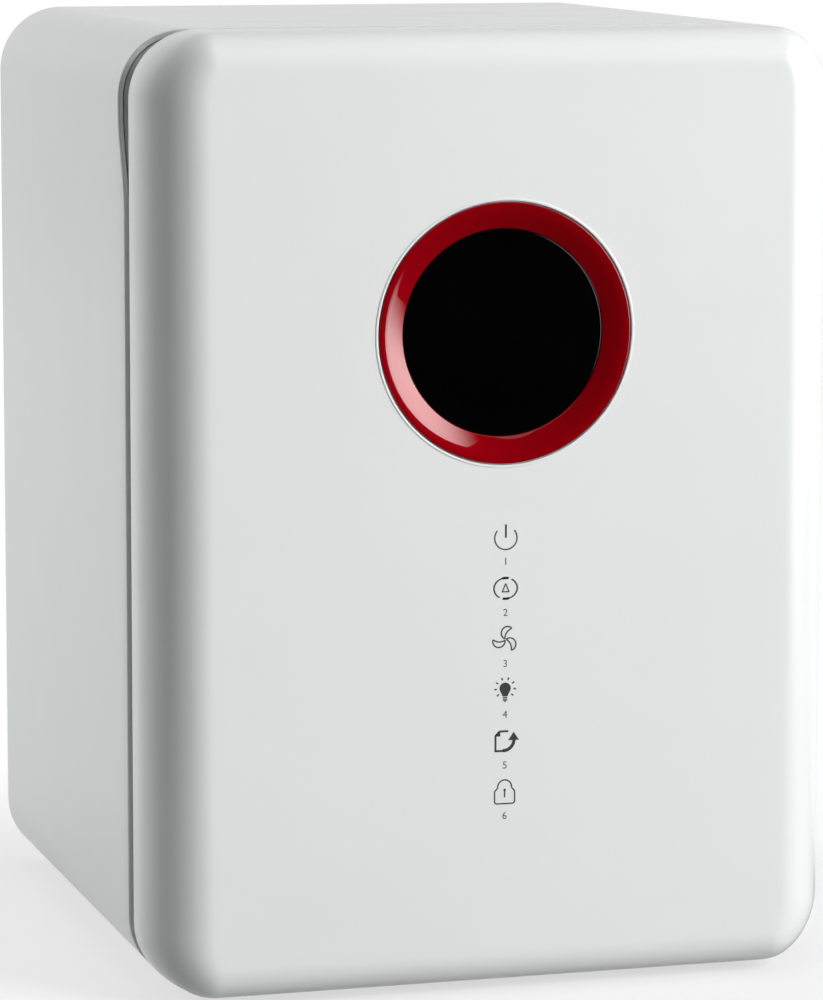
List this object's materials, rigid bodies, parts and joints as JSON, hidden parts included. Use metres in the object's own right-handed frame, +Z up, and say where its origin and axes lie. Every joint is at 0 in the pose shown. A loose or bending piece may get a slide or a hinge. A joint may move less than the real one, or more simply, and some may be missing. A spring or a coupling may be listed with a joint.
{
  "type": "dish sterilizer cabinet",
  "caption": "Countertop ultraviolet dish sterilizer and dryer: rounded white cabinet, thick hinged door with a round dark window in a red ring and a column of touch keys.",
  "frame": {"origin": "on the surface that the feet stand on, under the middle of the cabinet", "axes": "+X to the right of a person facing the door, +Y to the back, +Z up"},
  "size_m": [0.314, 0.32, 0.424],
  "materials": {
    "gloss_white": "glossy white moulded shell",
    "grey_plastic": "fine matt light grey",
    "dark_plastic": "matt black",
    "white_plastic": "matt white heat-proof plastic",
    "red_gloss": "deep red lacquer",
    "black_glass": "black back-printed glass",
    "clear_glass": "clear pane",
    "lamp_glass": "quartz tube",
    "stainless": "brushed stainless",
    "mirror_sheet": "polished aluminium",
    "bright_wire": "polished stainless wire",
    "zinc_steel": "zinc plated",
    "aluminium": "plain",
    "brass": "plated",
    "silicone": "soft grey silicone",
    "black_rubber": "matt black rubber",
    "board_green": "solder mask",
    "light_lens": "diffusing lens",
    "filter_felt": "coarse felt",
    "magnet_grey": "nickel plated magnet"
  },
  "bodies": {
    "cabinet": {"air_duct": "white_plastic", "back_panel": "white_plastic", "back_panel_screws": "zinc_steel", "board_capacitors": "dark_plastic", "board_posts": "brass", "board_relays": "white_plastic", "board_transformer": "dark_plastic", "catch_magnets": "magnet_grey", "chamber_back": "stainless", "chamber_wrap": "stainless", "door_sensor": "white_plastic", "fan_housing": "dark_plastic", "foot_screws": "zinc_steel", "frame_hinge_leaves": "stainless", "frame_screws": "zinc_steel", "front_frame": "grey_plastic", "hinge_pins": "stainless", "inlet_pins": "brass", "lamp_ballast": "white_plastic", "lamp_sockets": "white_plastic", "left_rack_rails": "stainless", "mains_inlet": "dark_plastic", "outer_casing": "gloss_white", "power_board": "board_green", "ptc_heater": "aluminium", "rear_lamp_caps": "aluminium", "rear_lamp_guard": "bright_wire", "rear_lamp_tube": "lamp_glass", "right_rack_rails": "stainless", "rubber_feet": "black_rubber", "temperature_probe": "zinc_steel", "thermal_cutout": "zinc_steel", "top_lamp_caps": "aluminium", "top_lamp_guard": "bright_wire", "top_lamp_tube": "lamp_glass", "top_reflector": "mirror_sheet"},
    "door": {"door_shell": "gloss_white", "door_liner": "grey_plastic", "window_bezel": "red_gloss", "window_glass": "black_glass", "window_seal": "silicone", "window_retainer": "dark_plastic", "inner_pane": "clear_glass", "door_gasket": "silicone", "control_board": "board_green", "touch_springs": "zinc_steel", "key_lights": "light_lens", "door_small_screws": "zinc_steel", "liner_screws": "zinc_steel", "strike_plates": "zinc_steel", "sensor_magnet": "magnet_grey", "door_hinge_leaves": "stainless", "door_hinge_screws": "zinc_steel"},
    "upper_rack": {"upper_rack": "bright_wire"},
    "lower_rack": {"lower_rack": "bright_wire"},
    "drip_tray": {"drip_tray": "stainless"},
    "fan_impeller": {"fan_impeller": "dark_plastic"},
    "filter_cover": {"filter_cover": "white_plastic", "filter_pad": "filter_felt"}
  },
  "joints": [
    {"name": "door_hinge", "type": "hinge", "parent": "cabinet", "child": "door", "pos_m": [0.154, -0.113, 0.2], "axis": [0, 0, 1], "range_deg": [0, 110]},
    {"name": "upper_rack_slide", "type": "slide", "parent": "cabinet", "child": "upper_rack", "axis": [0, -1, 0], "range_m": [0, 0.009]},
    {"name": "lower_rack_slide", "type": "slide", "parent": "cabinet", "child": "lower_rack", "axis": [0, -1, 0], "range_m": [0, 0.009]},
    {"name": "drip_tray_slide", "type": "slide", "parent": "cabinet", "child": "drip_tray", "axis": [0, -1, 0], "range_m": [0, 0.005]},
    {"name": "fan_spin", "type": "hinge", "parent": "cabinet", "child": "fan_impeller", "pos_m": [0, 0.13, 0.15], "axis": [0, 1, 0], "continuous": true},
    {"name": "filter_cover_pull", "type": "slide", "parent": "cabinet", "child": "filter_cover", "axis": [0, 1, 0], "range_m": [0, 0.04]}
  ]
}
